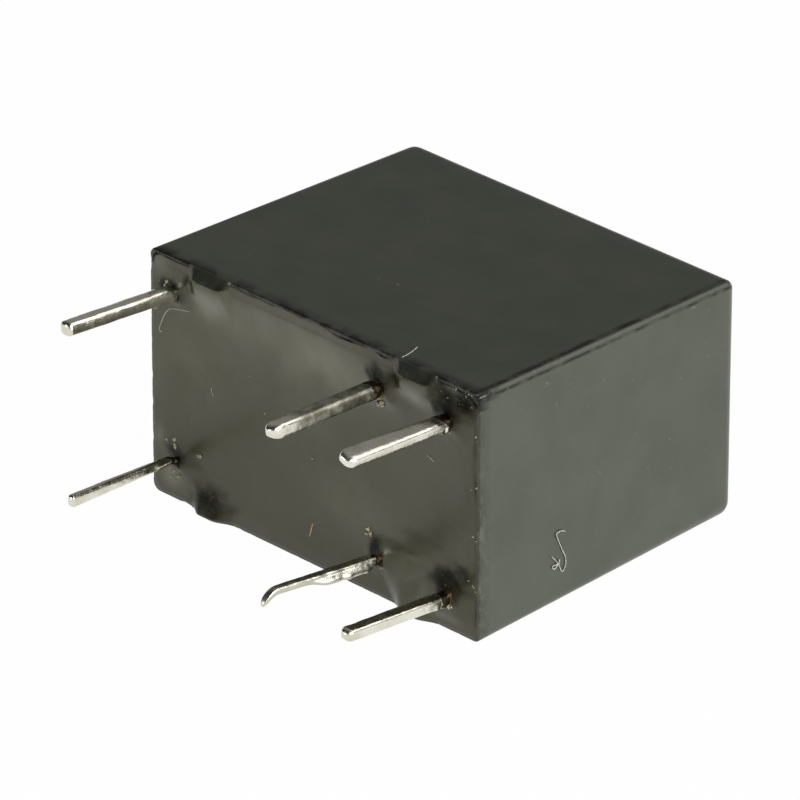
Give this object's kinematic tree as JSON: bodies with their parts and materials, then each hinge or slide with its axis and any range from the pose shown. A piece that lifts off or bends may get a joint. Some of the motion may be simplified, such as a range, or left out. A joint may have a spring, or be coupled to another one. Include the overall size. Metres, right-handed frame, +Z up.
{
  "type": "signal relay",
  "caption": "Miniature sealed signal relay for a printed circuit board, with a changeover contact and a dark moulded cover, lying on its side.",
  "frame": {"origin": "middle of the four outer pins, on the plane of the stand-off feet's tips", "axes": "+X along the relay's length towards the fixed contacts' pins, +Y from the pins towards the cover's closed end, +Z up with the relay lying on a long side"},
  "size_m": [0.0122, 0.0137, 0.0072],
  "materials": {
    "cover_plastic": "dark olive-grey moulded polyester, satin",
    "sealing_resin": "dark poured epoxy, glossy",
    "base_plastic": "moulded black",
    "solder": "copper alloy dipped in solder, satin",
    "former_plastic": "natural moulded",
    "enamelled_copper": "enamelled wire",
    "relay_iron": "annealed and nickel plated",
    "spring_bronze": "rolled spring bronze",
    "contact_silver": "silver alloy"
  },
  "bodies": {
    "root": {"cover": "cover_plastic", "seal_resin": "sealing_resin", "base": "base_plastic", "common_terminal": "solder", "nc_terminal": "solder", "no_terminal": "solder", "coil_terminal_a": "solder", "coil_terminal_b": "solder", "bobbin": "former_plastic", "coil_winding": "enamelled_copper", "coil_lead_a": "enamelled_copper", "coil_lead_b": "enamelled_copper", "core": "relay_iron", "yoke": "relay_iron", "pole_plate": "relay_iron", "hinge_spring": "spring_bronze", "spring_rivets": "contact_silver", "nc_contact": "contact_silver", "no_contact": "contact_silver"},
    "armature_unit": {"armature": "relay_iron", "armature_card": "former_plastic"},
    "spring_unit": {"contact_spring": "spring_bronze", "moving_contacts": "contact_silver"}
  },
  "joints": [
    {"name": "armature_tilt", "type": "hinge", "parent": "root", "child": "armature_unit", "pos_m": [-0.00441, 0.00695, 0], "axis": [0, 0, 1], "range_deg": [-2.2, 0], "stiffness_Nm_per_rad": 0.0005, "springref_deg": 8.59},
    {"name": "contact_spring_flex", "type": "hinge", "parent": "root", "child": "spring_unit", "pos_m": [-0.00488, 0.0083, 0], "axis": [0, 0, 1], "range_deg": [-2.07, 0]}
  ],
  "couplings": [
    {"joint": "contact_spring_flex", "follows": "armature_tilt", "ratio": 0.9389}
  ]
}
